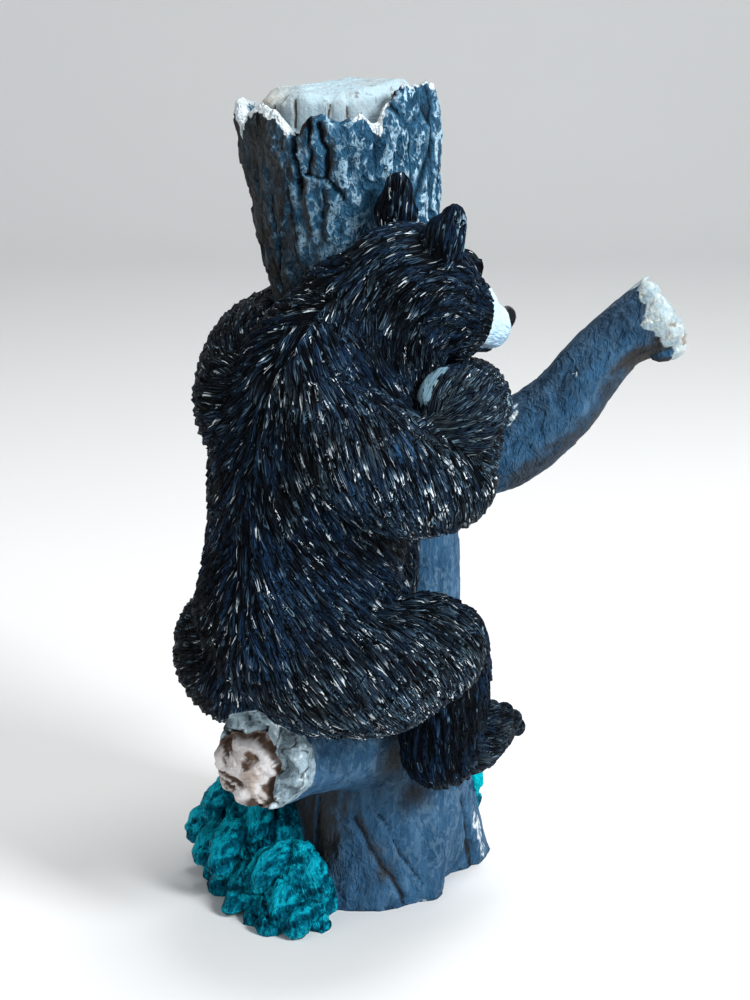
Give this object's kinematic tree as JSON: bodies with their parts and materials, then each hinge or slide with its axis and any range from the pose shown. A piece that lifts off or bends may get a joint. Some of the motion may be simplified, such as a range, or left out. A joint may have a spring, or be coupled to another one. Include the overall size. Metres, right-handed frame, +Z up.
{
  "type": "ceramic bear figurine",
  "caption": "Painted ceramic figurine of a black bear cub sitting on a branch stub and hugging a broken tree trunk with foliage at its foot.",
  "frame": {"origin": "on the flat underside, below the trunk", "axes": "+Z up along the trunk; the upper branch runs out along +X; the bear sits on the -Y side and looks between +X and +Y"},
  "size_m": [0.1465, 0.1303, 0.2381],
  "materials": {
    "painted_ceramic": "hand-painted, satin"
  },
  "bodies": {
    "root": {"bear_figurine": "painted_ceramic"}
  },
  "joints": []
}
